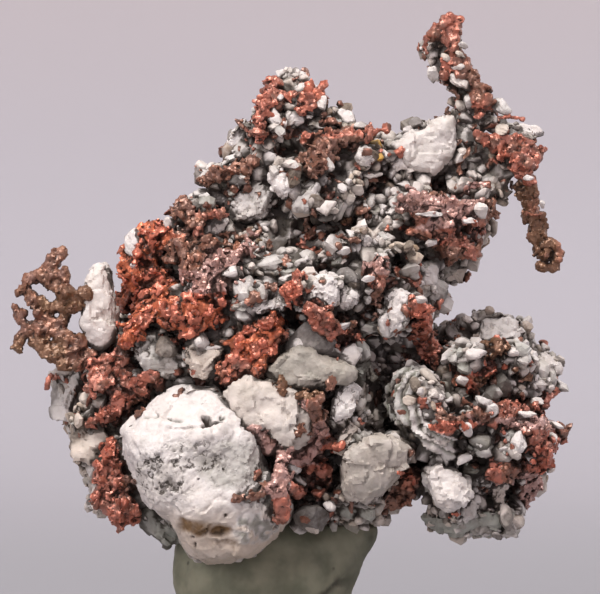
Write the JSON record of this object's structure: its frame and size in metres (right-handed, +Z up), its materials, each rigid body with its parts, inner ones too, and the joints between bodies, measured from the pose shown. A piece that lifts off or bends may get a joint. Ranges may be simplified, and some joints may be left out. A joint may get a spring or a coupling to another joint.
{
  "type": "native copper mineral specimen",
  "caption": "Branching native copper grown over and through a lump of pale calcite crystals, standing in a pressed lump of grey display putty with a flat foot.",
  "frame": {"origin": "a point on the putty's flat foot, under the middle of the specimen", "axes": "+Z up, -Y towards the front with the large white block, +X to the right where the round lobe is"},
  "size_m": [0.0715, 0.0414, 0.0819],
  "materials": {
    "calcite": "white to cream crystals, grey-green where shaded, waxy lustre",
    "bright_copper": "bright orange-red native copper, rough crystals with dark crevices",
    "red_copper": "salmon-red native copper, lightly tarnished",
    "tarnished_copper": "purple-brown to olive tarnish over native copper",
    "putty": "dull grey-green putty with dents and a fold"
  },
  "bodies": {
    "root": {"calcite_matrix": "calcite", "copper_main_cluster": "bright_copper", "copper_front_cluster": "bright_copper", "copper_curtain_upper": "red_copper", "copper_curtain_lower": "red_copper", "copper_peak_crust": "red_copper", "copper_peak_horn": "red_copper", "copper_top_ridge": "red_copper", "copper_arm_upper": "red_copper", "copper_elbow": "red_copper", "copper_centre_bud": "red_copper", "copper_lace": "red_copper", "copper_strap": "red_copper", "copper_lobe_crust": "red_copper", "copper_lobe_top": "red_copper", "copper_left_fan": "tarnished_copper", "copper_ridge_left": "tarnished_copper", "copper_left_buds": "tarnished_copper", "copper_finger": "tarnished_copper", "copper_shoulder": "tarnished_copper", "copper_brown_patch": "tarnished_copper", "copper_front_sheet": "tarnished_copper", "copper_neck_tuft": "tarnished_copper", "copper_back_cluster": "tarnished_copper", "copper_back_crust": "tarnished_copper", "display_putty": "putty"}
  },
  "joints": []
}
